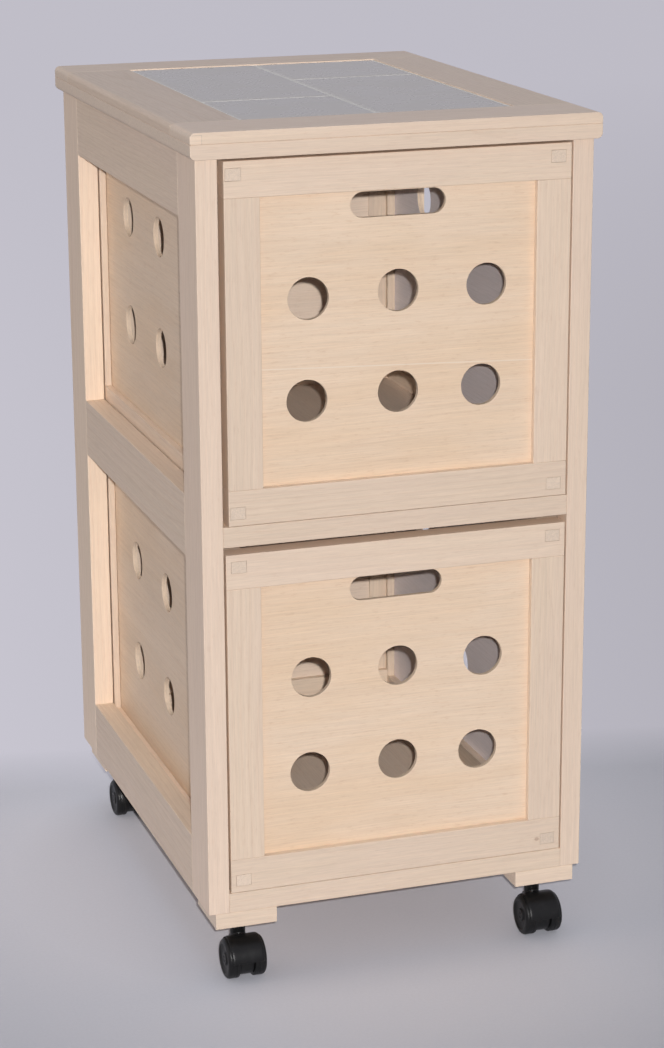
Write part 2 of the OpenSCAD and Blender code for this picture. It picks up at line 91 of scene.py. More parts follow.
class Graph:
    """A material's node tree, with one short call for each kind of node."""

    def __init__(self, name):
        self.material = bpy.data.materials.new(name)
        self.material.use_nodes = True
        self.tree = self.material.node_tree
        self.tree.nodes.clear()
        self.shader = self.tree.nodes.new("ShaderNodeBsdfPrincipled")
        self.output = self.tree.nodes.new("ShaderNodeOutputMaterial")
        self.tree.links.new(self.shader.outputs[0], self.output.inputs[0])

    def put(self, socket, value):
        if isinstance(value, bpy.types.NodeSocket):
            self.tree.links.new(value, socket)
        else:
            socket.default_value = value

    def set(self, **values):
        """Sets the shader's sockets; an underscore stands for a space."""
        for name, value in values.items():
            self.put(self.shader.inputs[name.replace("_", " ")], value)

    def attribute(self, name, output="Vector"):
        node = self.tree.nodes.new("ShaderNodeAttribute")
        node.attribute_name = name
        return node.outputs[output]

    def math(self, operation, a, b=0.0, clamp=False):
        node = self.tree.nodes.new("ShaderNodeMath")
        node.operation = operation
        node.use_clamp = clamp
        self.put(node.inputs[0], a)
        self.put(node.inputs[1], b)
        return node.outputs[0]

    def add(self, *values):
        """The sum of the values."""
        total = values[0]
        for value in values[1:]:
            total = self.math("ADD", total, value)
        return total

    def times(self, *values):
        """The product of the values."""
        product = values[0]
        for value in values[1:]:
            product = self.math("MULTIPLY", product, value)
        return product

    def vector(self, operation, a, b=(0, 0, 0), output="Vector"):
        node = self.tree.nodes.new("ShaderNodeVectorMath")
        node.operation = operation
        self.put(node.inputs[0], a)
        self.put(node.inputs[1], b)
        return node.outputs[output]

    def split(self, vector):
        node = self.tree.nodes.new("ShaderNodeSeparateXYZ")
        self.put(node.inputs[0], vector)
        return node.outputs

    def join(self, x, y, z):
        node = self.tree.nodes.new("ShaderNodeCombineXYZ")
        for socket, value in zip(node.inputs, (x, y, z)):
            self.put(socket, value)
        return node.outputs[0]

    def noise(self, place, stretch, detail=3.0, rough=0.55):
        """Noise from 0 to 1, with so many waves a metre along each axis."""
        node = self.tree.nodes.new("ShaderNodeTexNoise")
        node.inputs["Scale"].default_value = 1.0
        node.inputs["Detail"].default_value = detail
        node.inputs["Roughness"].default_value = rough
        self.put(node.inputs["Vector"], self.vector("MULTIPLY", place, stretch))
        return node.outputs[0]

    def remap(self, value, low, high, to_low=0.0, to_high=1.0):
        node = self.tree.nodes.new("ShaderNodeMapRange")
        for socket, number in zip(node.inputs, (value, low, high, to_low, to_high)):
            self.put(socket, number)
        return node.outputs[0]

    def ramp(self, factor, stops):
        """A colour or a grey for each place from 0 to 1."""
        node = self.tree.nodes.new("ShaderNodeValToRGB")
        marks = node.color_ramp.elements
        while len(marks) < len(stops):
            marks.new(0.5)
        for mark, (place, colour) in zip(marks, stops):
            mark.position = place
            mark.color = (*colour, 1) if isinstance(colour, tuple) else (colour, colour, colour, 1)
        self.put(node.inputs[0], factor)
        return node.outputs[0]

    def mix(self, factor, a, b):
        node = self.tree.nodes.new("ShaderNodeMix")
        node.data_type = "RGBA"
        for socket, value in zip((node.inputs[0], node.inputs[6], node.inputs[7]), (factor, a, b)):
            self.put(socket, (*value, 1) if isinstance(value, tuple) else value)
        return node.outputs[2]

    def brighten(self, colour, factor):
        """The colour times a factor that varies over the surface."""
        return self.vector("MULTIPLY", colour, self.join(factor, factor, factor))

    def bump(self, height, depth):
        """A bump of the given depth in metres, for a height from 0 to 1."""
        node = self.tree.nodes.new("ShaderNodeBump")
        node.inputs["Distance"].default_value = depth
        self.put(node.inputs["Height"], height)
        self.put(self.shader.inputs["Normal"], node.outputs[0])


# ---- Materials ----
# Boards carry wood_co, their place in the log in metres: along the pith, then two axes across it.
# wood_look holds the board's tone, which on the left side's boards is darkened as painted shade, whether a
# face is end grain or a cut edge, and how pink the board is or, on a panel, how much of the plainer inner
# colour a face has, which is made paler as painted light inside the bins. knot_co is 1 long at the edge of
# the board's knot, and seam is the distance in metres from the panel's seam.

MOST_NOISE = (0.3, 0.7)  # noise seldom leaves this range

RING_WIDTH = 3.4 * MM
SWAY = 22 * MM  # how far the rings wander, broadly and finely, and how far a knot pushes them
RIPPLE = 2.4 * MM
KNOT_PUSH = 5 * MM
WOOD_GRAIN_DEPTH = 0.10 * MM
PALE = (0.83, 0.665, 0.515)
LATE = (0.70, 0.51, 0.37)
PINK = (0.80, 0.63, 0.52)
KNOT = (0.60, 0.43, 0.32)
END = (0.755, 0.62, 0.51)
FLECK = (0.70, 0.50, 0.37)


def solid_wood():
    """Planed softwood: curved growth rings, fine fibres, paler and pinker patches, end grain and a knot."""
    g = Graph("solid_wood")
    place = g.attribute("wood_co")
    tone, end, pinker = g.split(g.attribute("wood_look"))
    knot = g.vector("LENGTH", g.attribute("knot_co"), output="Value")

    sway = g.noise(place, (2.2, 9, 9), 2.0)
    ripple = g.noise(place, (9, 45, 45), 2.0)
    halo = g.remap(knot, 0.8, 3.0, 1.0, 0.0)
    radius = g.vector("LENGTH", g.vector("MULTIPLY", place, (0, 1, 1)), output="Value")
    radius = g.add(radius, g.times(sway, SWAY), g.times(ripple, RIPPLE), g.times(halo, KNOT_PUSH))
    ring = g.math("FRACT", g.math("DIVIDE", radius, RING_WIDTH))
    late = g.ramp(ring, [(0.0, 0.15), (0.3, 0.0), (0.72, 0.3), (0.9, 1.0), (1.0, 0.15)])
    strength = g.remap(g.noise(place, (3, 30, 30), 2.0), *MOST_NOISE, 0.12, 0.42)
    colour = g.mix(g.times(late, strength), PALE, LATE)

    patch = g.remap(g.noise(place, (4, 18, 18), 3.0), 0.38, 0.66, 0.0, 0.8)
    colour = g.mix(g.math("ADD", patch, pinker, clamp=True), colour, g.mix(0.5, colour, PINK))
    fibre = g.noise(place, (45, 1000, 1000), 3.0, 0.7)
    streak = g.noise(place, (8, 420, 420), 3.0, 0.6)
    fleck = g.remap(g.noise(place, (95, 520, 520), 3.0, 0.65), 0.56, 0.74, 0.0, 0.34)
    colour = g.mix(fleck, colour, FLECK)
    fibre_shade = g.remap(fibre, 0.25, 0.75, -0.07, 0.07)
    streak_shade = g.remap(streak, 0.25, 0.75, -0.045, 0.04)
    shade = g.add(fibre_shade, streak_shade, tone, 1.0)

    sawn = g.noise(place, (500, 700, 700), 2.0, 0.8)
    end_colour = g.mix(g.times(late, 0.4), g.mix(0.5, PALE, END), END)
    end_colour = g.brighten(end_colour, g.remap(sawn, *MOST_NOISE, 0.93, 1.05))
    colour = g.mix(end, colour, end_colour)
    core = g.ramp(g.times(knot, 0.5), [(0.0, 0.75), (0.3, 1.0), (0.46, 0.8), (0.58, 0.12), (1.0, 0.0)])
    colour = g.mix(core, colour, KNOT)
    colour = g.brighten(colour, shade)

    rough = g.remap(g.add(fibre, g.times(late, -0.25)), 0.1, 0.8, 0.52, 0.38)
    g.set(Base_Color=colour, Roughness=rough, IOR=1.5)
    relief = g.add(g.times(fibre, 0.6), g.times(late, -0.35), g.times(sawn, end, 1.2))
    g.bump(relief, WOOD_GRAIN_DEPTH)
    return g.material


VENEER = (0.89, 0.70, 0.53)
VENEER_WARM = (0.875, 0.655, 0.46)
VENEER_LINE = (0.74, 0.52, 0.355)
# the back's plainer colour, made paler and greyer as painted light inside the bins
PALER_BACK_PAINTED_LIGHT = (0.95, 0.86, 0.86)
PALER_BACK_LINE_PAINTED_LIGHT = (0.88, 0.78, 0.76)
PLY_CORE = (0.80, 0.63, 0.48)
PLY_GLUE = (0.56, 0.40, 0.28)
SEAM = (0.93, 0.80, 0.68)
PLY_HALF = 2 * MM
VENEER_SWAY = 9 * MM
SEAM_SWAY = 0.3 * MM
SEAM_HALF = (0.25 * MM, 0.6 * MM)  # how far from its middle the seam begins to fade and is gone
VENEER_GRAIN_DEPTH = 0.08 * MM


def veneer_ply():
    """Plywood with a fine straight-grained face and a plainer back, made paler as painted light on the bins'
    inner faces; its plies show on the cut edges.
    """
    g = Graph("veneer_ply")
    place = g.attribute("wood_co")
    tone, end, inward = g.split(g.attribute("wood_look"))
    sway = g.noise(place, (3, 5, 0), 2.0)
    bent = g.vector("ADD", place, g.join(0.0, g.times(sway, VENEER_SWAY), 0.0))
    fine = g.noise(bent, (24, 900, 0), 3.0, 0.75)
    line = g.noise(bent, (9, 300, 0), 4.0, 0.75)
    broad = g.noise(bent, (2.5, 34, 0), 3.0)
    warm = g.remap(g.noise(bent, (5, 16, 0), 3.0, 0.6), 0.42, 0.64, 0.0, 0.75)
    pores = g.remap(g.noise(bent, (110, 560, 0), 3.0, 0.7), 0.55, 0.72)
    mask = g.math("ADD", g.remap(line, 0.46, 0.76, 0.0, 0.45), g.times(pores, 0.5), clamp=True)
    front = g.mix(warm, VENEER, VENEER_WARM)
    # inner faces take the back's colour, paler as painted light
    face = g.mix(inward, g.mix(mask, front, VENEER_LINE), g.mix(mask, PALER_BACK_PAINTED_LIGHT, PALER_BACK_LINE_PAINTED_LIGHT))
    fine_shade = g.remap(fine, 0.25, 0.75, -0.08, 0.08)
    broad_shade = g.remap(broad, *MOST_NOISE, -0.035, 0.03)
    face = g.brighten(face, g.add(fine_shade, broad_shade, tone, 1.0))
    seam = g.add(g.attribute("seam", "Fac"), g.times(g.remap(sway, *MOST_NOISE, -1, 1), SEAM_SWAY))
    joint = g.remap(g.math("ABSOLUTE", seam), *SEAM_HALF, 0.6, 0.0)
    face = g.mix(g.times(joint, g.math("SUBTRACT", 1.0, inward)), face, SEAM)

    depth = g.math("DIVIDE", g.math("ABSOLUTE", g.split(place)[2]), PLY_HALF)
    plies = g.ramp(depth, [(0.0, PLY_CORE), (0.30, PLY_CORE), (0.34, PLY_GLUE), (0.40, VENEER),
                           (0.66, VENEER), (0.70, PLY_GLUE), (0.76, PLY_CORE)])
    rag = g.noise(place, (260, 260, 900), 3.0, 0.7)
    edge = g.brighten(plies, g.remap(rag, *MOST_NOISE, 0.86, 1.05))
    rough = g.add(g.remap(fine, 0.2, 0.8, 0.40, 0.54), g.times(end, 0.25))
    g.set(Base_Color=g.mix(end, face, edge), Roughness=rough, IOR=1.5)
    relief = g.add(g.times(fine, 0.5), g.times(pores, -0.5), g.times(rag, end, 1.5))
    g.bump(relief, VENEER_GRAIN_DEPTH)
    return g.material


GLAZE = (0.59, 0.55, 0.51)
GLAZE_THIN = (0.72, 0.69, 0.65)
GLAZE_SPECK = (0.33, 0.34, 0.34)


def tile_glaze():
    """Grey glaze with a faint mottle, paler where it thins at the eased edges."""
    g = Graph("tile")
    place = g.attribute("tile_co")
    rim = g.attribute("rim", "Fac")
    cloud = g.noise(place, (28, 28, 28), 4.0, 0.6)
    speck = g.remap(g.noise(place, (900, 900, 900), 2.0, 0.5), 0.66, 0.8)
    colour = g.brighten(g.mix(rim, GLAZE, GLAZE_THIN), g.remap(cloud, *MOST_NOISE, 0.95, 1.05))
    colour = g.mix(g.times(speck, 0.22), colour, GLAZE_SPECK)
    ripple = g.noise(place, (70, 70, 70), 3.0, 0.5)
    g.set(Base_Color=colour, Roughness=g.remap(cloud, *MOST_NOISE, 0.22, 0.34), IOR=1.5)
    g.bump(g.add(g.times(ripple, 0.8), g.times(speck, -0.2)), 0.05 * MM)
    return g.material


def object_place(g):
    """The place on the piece itself, in metres."""
    node = g.tree.nodes.new("ShaderNodeTexCoord")
    return node.outputs["Object"]


GROUT_PALE = (0.93, 0.89, 0.84)
GROUT_STAINED = (0.84, 0.80, 0.75)


def grout():
    """Sandy pale joint filler."""
    g = Graph("grout")
    place = object_place(g)
    sand = g.noise(place, (1500, 1500, 1500), 3.0, 0.7)
    stain = g.noise(place, (35, 35, 35), 3.0)
    colour = g.mix(g.remap(stain, 0.35, 0.7, 0.0, 0.6), GROUT_PALE, GROUT_STAINED)
    g.set(Base_Color=g.brighten(colour, g.remap(sand, *MOST_NOISE, 0.92, 1.03)), Roughness=0.88)
    g.bump(sand, 0.25 * MM)
    return g.material


DUST = (0.028, 0.027, 0.026)


def black_plastic(name, level, rough):
    """Moulded black plastic with a fine leather-like skin and faint scuffs."""
    g = Graph(name)
    place = object_place(g)
    skin = g.noise(place, (2600, 2600, 2600), 2.0, 0.5)
    dust = g.remap(g.noise(place, (160, 160, 160), 4.0, 0.65), 0.5, 0.8)
    black = (level, level, level * 1.04)
    g.set(Base_Color=g.mix(g.times(dust, 0.3), black, DUST), IOR=1.5, Specular_IOR_Level=0.3,
          Roughness=g.remap(dust, 0.0, 1.0, rough, rough + 0.2))
    g.bump(skin, 0.05 * MM)
    return g.material


ZINC = (0.66, 0.67, 0.69)
ZINC_DULL = (0.58, 0.58, 0.60)


def steel():
    """Bright zinc-plated steel, drawn along its length."""
    g = Graph("steel")
    place = object_place(g)
    drawn = g.noise(place, (1800, 1800, 60), 3.0, 0.6)
    bloom = g.noise(place, (300, 300, 300), 2.0)
    colour = g.brighten(g.mix(bloom, ZINC, ZINC_DULL), g.remap(drawn, *MOST_NOISE, 0.9, 1.05))
    g.set(Base_Color=colour, Metallic=1.0, Roughness=g.remap(drawn, *MOST_NOISE, 0.22, 0.38))
    g.bump(drawn, 0.02 * MM)
    return g.material


WOOD = solid_wood()
PLY = veneer_ply()
TILE = tile_glaze()
GROUT = grout()
PLASTIC = black_plastic("caster_plastic", 0.007, 0.34)
TYRE = black_plastic("caster_wheel_plastic", 0.006, 0.38)
STEEL = steel()


# ---- Piece helpers ----

FLAT_ANGLE = math.radians(0.5)


def piece_of(mesh, name, material, slot, *nodes):
    """Makes a piece that stands for these CAD nodes and moves with their body."""
    piece = bpy.data.objects.new(name, mesh)
    bpy.context.scene.collection.objects.link(piece)
    mesh.materials.clear()
    mesh.materials.append(material)
    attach(piece, BODY_OF[nodes[0]])
    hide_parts(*nodes)
    return piece


def clean_copy(node):
    """A bmesh copy of a CAD node, welded and with its flat faces whole."""
    bm = bmesh.new()
    bm.from_mesh(NODES[node].data)
    bmesh.ops.remove_doubles(bm, verts=bm.verts, dist=WELD)
    bmesh.ops.dissolve_limit(bm, angle_limit=FLAT_ANGLE, verts=bm.verts, edges=bm.edges)
    return bm


def islands(bm):
    """The faces of each separate solid."""
    left = set(bm.faces)
    found = []
    while left:
        seed = left.pop()
        island, queue = [seed], [seed]
        while queue:
            for edge in queue.pop().edges:
                for face in edge.link_faces:
                    if face in left:
                        left.remove(face)
                        island.append(face)
                        queue.append(face)
        found.append(island)
    return sorted(found, key=lambda faces: tuple(round(v, 4) for v in corners(faces)[0]))


def cut_across(bm, axis, place):
    """Cuts a mesh's faces along a plane square to an axis."""
    bmesh.ops.bisect_plane(bm, geom=bm.verts[:] + bm.edges[:] + bm.faces[:],
                           plane_co=AXES[axis] * place, plane_no=AXES[axis])


def corners(faces):
    """Lowest and highest corner of some faces."""
    points = [vert.co for face in faces for vert in face.verts]
    return (Vector([min(p[i] for p in points) for i in range(3)]),
            Vector([max(p[i] for p in points) for i in range(3)]))


# ---- Wood ----

BOARD_EASE = 0.5 * MM
EASED_ANGLE = math.radians(35)
TENON_FACE = 17 * MM  # no face of a tenon or a mortise is longer
SMOOTH_ANGLE = math.radians(12)

# How far the pith is from a board's middle, and the least angle between its direction and the face
PITH_NEAR = 35 * MM
PITH_FAR = 110 * MM
PITH_ANGLE = 0.15
LOG_LENGTH = 50
TONE_SPREAD = 0.035
PINK_SPREAD = 0.3

# A board's face is end grain if its normal has more than this along the grain, and a panel's face is
# a cut edge if its normal has less than this square to the sheet
END_GRAIN_OVER = 0.8
PLY_EDGE_UNDER = 0.6

# Boards whose grain runs along a side other than their longest: the side's axis
LONG_GRAIN = {"top_board": 0, "caster_blocks": 0}

# Boards that stand out in the photograph: tone, then how pink they are, which only solid wood uses. On the
# left side's boards the darker tone is painted shade, as that side is turned away from the flash.
BOARD_TONE_AND_PAINTED_SHADE = {
    "post_front_left": (0.07, 0.75),
    "post_front_right": (0.03, 0.55),
    "top_rail_front": (0.05, 0.4),
    "top_board": (0.01, 0.4),
    "front_rail_bottom": (-0.02, 0.1),
    "front_rail_middle": (-0.03, 0.2),
    # the left side's boards: darker as painted shade
    "top_rail_left": (-0.08, 0.2),
    "side_rail_left_middle": (-0.04, 0.2),
    "side_rail_left_bottom": (-0.08, 0.0),
    "upper_rear_posts": (-0.12, 0.0),
    "lower_rear_posts": (-0.12, 0.0),
    "lower_front_rail_top": (0.04, 0.3),
    "lower_front_stile_left": (0.01, 0.15),
    "lower_front_stile_right": (0.0, 0.1),
    "upper_front_stile_right": (0.03, 0.1),
    "upper_front_panel": (0.0, 0.0),
    "lower_front_panel": (-0.005, 0.0),
    # the left side's panels: darker as painted shade
    "upper_side_panel_left": (-0.08, 0.0),
    "lower_side_panel_left": (-0.10, 0.0),
}

# Knots: the board, the knot's centre in the frame and its radius along and across the grain, in mm
KNOTS = {
    "lower_front_rail_bottom": ((110.6, -195.0, 80.9), 1.7, 1.4),
}
NO_KNOT = ((0, 0, -9000), 6, 3)  # far below the floor

# Seams between two leaves of veneer: the panel and two points on the seam, in mm
SEAMS = {
    "upper_front_panel": ((-92.8, -189.5, 457.3), (93.9, -189.5, 449.6)),
}
NO_SEAM = ((-1, 0, 9000), (1, 0, 9000))  # far above the top

# Patches of another tone: the board, the patch's low and high corner in mm, how much paler it is,
# and how dark the thin line round it is
PATCHES = {
    "top_rail_front": ((-151, -201, 617.3), (-141.5, -199, 623.5), 0.05, -0.2),
}
PATCH_LINE = 0.4 * MM

# How much of the side panels' plainer inner colour, made paler as painted light inside the bins, the other
# panels' inner faces have
PAINTED_LIGHT_BACK_SHARE = 0.2


def log_axes(size, along=None):
    """Indices of the axes along the grain, across the board's face and through its thickness."""
    order = sorted(range(3), key=lambda i: -size[i])
    if along is not None:
        order = [along] + [i for i in order if i != along]
    return order


def mark_wood(bm, name, along=None, sheet=False):
    """Gives each solid of a mesh its place in the log, its tone, its knot and its seam."""
    place = bm.verts.layers.float_vector.new("wood_co")
    knot_place = bm.verts.layers.float_vector.new("knot_co")
    look = bm.faces.layers.float_vector.new("wood_look")
    seam = bm.verts.layers.float.new("seam")
    seam_ends = [Vector(point) * MM for point in SEAMS.get(name, NO_SEAM)]
    seam_across = (seam_ends[1] - seam_ends[0]).cross(AXES[1]).normalized()
    centre, knot_length, knot_width = KNOTS.get(name, NO_KNOT)
    inside = inward(name) if sheet else None
    for number, faces in enumerate(islands(bm)):
        dice = random.Random(f"{name} {number}")
        low, high = corners(faces)
        middle = (low + high) / 2
        axes = log_axes(high - low, along)
        angle = dice.uniform(PITH_ANGLE, math.pi - PITH_ANGLE) * dice.choice((-1, 1))
        pith = dice.uniform(PITH_NEAR, PITH_FAR)
        start = dice.uniform(0, LOG_LENGTH)
        if sheet:
            offset = Vector((start, dice.uniform(0, LOG_LENGTH), 0))
        else:
            offset = Vector((start, pith * math.cos(angle), pith * math.sin(angle)))
        tone = dice.gauss(0, TONE_SPREAD)
        pink = dice.uniform(0, PINK_SPREAD)
        # a listed tone, which on the left side's boards is painted shade
        if name in BOARD_TONE_AND_PAINTED_SHADE:
            tone, pink = BOARD_TONE_AND_PAINTED_SHADE[name]
        for vert in {vert for face in faces for vert in face.verts}:
            local = vert.co - middle
            vert[place] = Vector([local[i] for i in axes]) + offset
            away = (vert.co - Vector(centre) * MM) / MM
            radii = (knot_length, knot_width, knot_width)
            vert[knot_place] = Vector([away[i] / radius for i, radius in zip(axes, radii)])
            vert[seam] = (vert.co - seam_ends[0]).dot(seam_across)
        for face in faces:
            if sheet:
                end = abs(face.normal[axes[2]]) < PLY_EDGE_UNDER
                # an inner face takes the back's paler colour, which is partly painted light
                pink = float(face.normal.dot(inside) > 0) * (1.0 if "_side_" in name else PAINTED_LIGHT_BACK_SHARE)
            else:
                end = abs(face.normal[axes[0]]) > END_GRAIN_OVER
            face[look] = Vector((tone + patch_tone(name, face.calc_center_median()), float(end), pink))


def patch_box(name):
    """The patch's low and high corner in metres."""
    return [Vector(corner) * MM for corner in PATCHES[name][:2]]


def patch_tone(name, point):
    """How much paler or darker a face of a board is than the board, for its patch."""
    if name not in PATCHES:
        return 0.0
    low, high = patch_box(name)
    if any(not low[i] <= point[i] <= high[i] for i in range(3)):
        return 0.0
    paler, line = PATCHES[name][2:]
    return line if min(high.x - point.x, high.z - point.z) < PATCH_LINE else paler


def cut_patch(bm, name):
    """Cuts a board's faces along the edges of its patch and of the thin line round it."""
    if name in PATCHES:
        low, high = patch_box(name)
        for axis, place in ((0, high.x), (0, high.x - PATCH_LINE), (2, high.z), (2, high.z - PATCH_LINE),
                            (2, low.z)):
            cut_across(bm, axis, place)


def inward(panel_name):
    """The direction from a bin's panel to the middle of the bin."""
    bin_name = panel_name.split("_")[0]
    boxes = [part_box(node) for node in NODES if node.startswith(bin_name)]
    middle = sum((low + high for low, high in boxes), Vector()) / (2 * len(boxes))
    low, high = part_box(panel_name)
    return middle - (low + high) / 2


def mesh_from(bm, name):
    bmesh.ops.recalc_face_normals(bm, faces=bm.faces)
    mesh = bpy.data.meshes.new(name)
    bm.to_mesh(mesh)
    bm.free()
    return mesh


def ease_edges(bm):
    """Rounds a board's outward edges, but for those of tenons and mortises."""
    sharp = [edge for edge in bm.edges
             if len(edge.link_faces) == 2 and edge.is_convex
             and edge.calc_face_angle(0) > EASED_ANGLE
             and min(max(e.calc_length() for e in face.edges) for face in edge.link_faces) > TENON_FACE]
    bmesh.ops.bevel(bm, geom=sharp, offset=BOARD_EASE, offset_type="OFFSET", segments=2,
                    profile=0.5, affect="EDGES", clamp_overlap=True)


def board(node, along=None):
    """Solid boards from a CAD node, with eased edges."""
    bm = clean_copy(node)
    ease_edges(bm)
    cut_patch(bm, node)
    mark_wood(bm, node, along)
    mesh = mesh_from(bm, node)
    mesh.set_sharp_from_angle(angle=SMOOTH_ANGLE)
    piece_of(mesh, f"{node}_wood", WOOD, "solid_wood", node)


PANEL_EASE = 0.3 * MM


def rim_loops(node, axis):
    """The outline and the holes of a flat panel: loops of points at its lowest face across the axis."""
    bm = bmesh.new()
    bm.from_mesh(NODES[node].data)
    bmesh.ops.remove_doubles(bm, verts=bm.verts, dist=WELD)
    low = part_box(node)[0][axis]
    face_set = {f for f in bm.faces if all(abs(v.co[axis] - low) < WELD for v in f.verts)}
    rim = {e for e in bm.edges if sum(f in face_set for f in e.link_faces) == 1}
    loops = []
    while rim:
        edge = rim.pop()
        start, vert = edge.verts
        loop = [start.co.copy()]
        while vert is not start:
            loop.append(vert.co.copy())
            edge = next(e for e in vert.link_edges if e in rim)
            rim.remove(edge)
            vert = edge.other_vert(vert)
        loops.append(loop)
    bm.free()
    return loops


def signed_area(points):
    return sum(a[0] * b[1] - b[0] * a[1] for a, b in zip(points, points[1:] + points[:1])) / 2


def panel(node, axis, along):
    """A plywood panel with smooth round holes and softened rims, drawn as a filled outline.

    It lies square to the first axis, and its grain runs along the second.
    """
    low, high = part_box(node)
    across = [i for i in range(3) if i != axis]
    if axis == 1:
        across.reverse()
    thickness = high[axis] - low[axis]
    curve = bpy.data.curves.new(node, "CURVE")
    curve.dimensions = "2D"
    curve.fill_mode = "BOTH"
    curve.extrude = thickness / 2 - PANEL_EASE
    curve.bevel_depth = PANEL_EASE
    curve.bevel_resolution = 1
    curve.offset = -PANEL_EASE
    flat = [[(p[across[0]], p[across[1]]) for p in loop] for loop in rim_loops(node, axis)]
    outline = max(flat, key=lambda points: abs(signed_area(points)))
    for points in flat:
        wanted = 1 if points is outline else -1
        if signed_area(points) * wanted < 0:
            points.reverse()
        spline = curve.splines.new("POLY")
        spline.points.add(len(points) - 1)
        for target, point in zip(spline.points, points):
            target.co = (*point, 0, 1)
        spline.use_cyclic_u = True
    drawn = bpy.data.objects.new("drawn", curve)
    bpy.context.scene.collection.objects.link(drawn)
    bpy.context.view_layer.update()
    mesh = bpy.data.meshes.new_from_object(drawn.evaluated_get(bpy.context.evaluated_depsgraph_get()))
    bpy.data.objects.remove(drawn)
    bm = bmesh.new()
    bm.from_mesh(mesh)
    bmesh.ops.remove_doubles(bm, verts=bm.verts, dist=WELD)
    turn = Matrix((AXES[across[0]], AXES[across[1]], AXES[axis])).transposed().to_4x4()
    turn.translation = AXES[axis] * (low[axis] + high[axis]) / 2
    bmesh.ops.transform(bm, matrix=turn, verts=bm.verts)
    mark_wood(bm, node, along, sheet=True)
    mesh = mesh_from(bm, node)
    mesh.set_sharp_from_angle(angle=SMOOTH_ANGLE)
    piece_of(mesh, f"{node}_ply", PLY, "veneer_ply", node)


def wooden_parts():
    for node in NODES:
        if "_side_panel" in node:
            panel(node, 0, 1)
        elif node.endswith("_panel"):
            panel(node, 1, 0)
        elif node.endswith("_floor"):
            panel(node, 2, 1)
        elif not node.startswith(("caster_hood", "caster_wheels", "caster_pins", "tile")):
            board(node, LONG_GRAIN.get(node))


wooden_parts()


# ---- Tiles ----

TILE_EASE = 1.1 * MM
TILE_CELL = 7 * MM
TILE_CROWN = 0.25 * MM
TILE_CROWN_WIDTH = 8 * TILE_EASE
TILE_SMOOTH_ANGLE = math.radians(60)


def tile(node):
    """A tile with eased edges, a very slightly crowned face and a thin-glazed rim."""
    bm = clean_copy(node)
    low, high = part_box(node)
    top = [e for e in bm.edges if all(abs(v.co.z - high.z) < WELD for v in e.verts)]
    posts = [e for e in bm.edges if abs(e.verts[0].co.z - e.verts[1].co.z) > 1 * MM]
    bmesh.ops.bevel(bm, geom=top + posts, offset=TILE_EASE, segments=4, profile=0.5, affect="EDGES")
    for axis in (0, 1):
        count = int((high[axis] - low[axis]) / TILE_CELL)
        for i in range(1, count):
            cut_across(bm, axis, low[axis] + (high[axis] - low[axis]) * i / count)
    place = bm.verts.layers.float_vector.new("tile_co")
    rim = bm.verts.layers.float.new("rim")
    shift = Vector([random.Random(node).uniform(0, 9) for _ in range(3)])
    for vert in bm.verts:
        inset = min(vert.co.x - low.x, high.x - vert.co.x, vert.co.y - low.y, high.y - vert.co.y)
        vert[rim] = max(0.0, 1 - inset / TILE_EASE)
        vert[place] = vert.co + shift
        if vert.co.z > high.z - TILE_EASE / 2:
            vert.co.z -= TILE_CROWN * max(0.0, 1 - inset / TILE_CROWN_WIDTH) ** 2
    mesh = mesh_from(bm, node)
    mesh.shade_smooth()
    mesh.set_sharp_from_angle(angle=TILE_SMOOTH_ANGLE)
    piece_of(mesh, f"{node}_glazed", TILE, "tile", node)


for tile_node in sorted(NODES):
    if tile_node.startswith("tile_") and tile_node != "tile_grout":
        tile(tile_node)


# ---- Casters ----

HOOD_VOXEL = 0.45 * MM
HOOD_SMOOTHING = 6
HOOD_KEPT = 0.35


def moulded_hood(node):
    """The hood with the soft edges of a moulding: remeshed finely, relaxed, then thinned."""
    work = bpy.data.objects.new("work", mesh_from(clean_copy(node), node))
    bpy.context.scene.collection.objects.link(work)
    remesh = work.modifiers.new("remesh", "REMESH")
    remesh.mode = "VOXEL"
    remesh.voxel_size = HOOD_VOXEL
    smooth = work.modifiers.new("smooth", "SMOOTH")
    smooth.factor = 0.5
    smooth.iterations = HOOD_SMOOTHING
    thin = work.modifiers.new("thin", "DECIMATE")
    thin.ratio = HOOD_KEPT
    bpy.context.view_layer.update()
    done = bpy.data.meshes.new_from_object(work.evaluated_get(bpy.context.evaluated_depsgraph_get()))
    bpy.data.objects.remove(work)
    done.shade_smooth()
    piece_of(done, f"{node}_moulded", PLASTIC, "caster_plastic", node)


WHEEL_ROUND = 2.6 * MM
WHEEL_ROUND_STEPS = 8
WHEEL_STEPS = 96
WHEEL_SMOOTH_ANGLE = math.radians(40)
AXLE_RADIUS = 2 * MM
AXLE_STEPS = 32
AXLE_INTO_WHEEL = 1 * MM


def wheel_profile(radius, width):
    """Points from the hub's middle to the inner face: distance from the axle, then along it."""
    hub, dish, rim = 5 * MM, 1.2 * MM, 1.4 * MM
    lip = radius - WHEEL_ROUND - rim
    points = [(0, width - 0.3 * MM), (1.6 * MM, width - 0.3 * MM), (2.1 * MM, width - 0.8 * MM),
              (2.6 * MM, width - 0.3 * MM), (hub - 0.6 * MM, width - 0.2 * MM),
              (hub - 0.1 * MM, width - 0.7 * MM), (hub + 0.3 * MM, width - dish),
              (lip - 0.6 * MM, width - dish * 0.8),
              (lip, width - 0.5 * MM), (lip + 0.5 * MM, width)]
    for i in range(WHEEL_ROUND_STEPS + 1):
        turn = math.pi / 2 * i / WHEEL_ROUND_STEPS
        points.append((radius - WHEEL_ROUND * (1 - math.sin(turn)),
                       width - WHEEL_ROUND * (1 - math.cos(turn))))
    points += [(radius, width * 0.42), (radius - 0.35 * MM, width * 0.38), (radius - 0.35 * MM, width * 0.32),
               (radius, width * 0.28), (radius, 0.8 * MM), (radius - 0.25 * MM, 0.25 * MM),
               (radius - 0.8 * MM, 0), (0, 0)]
    return points


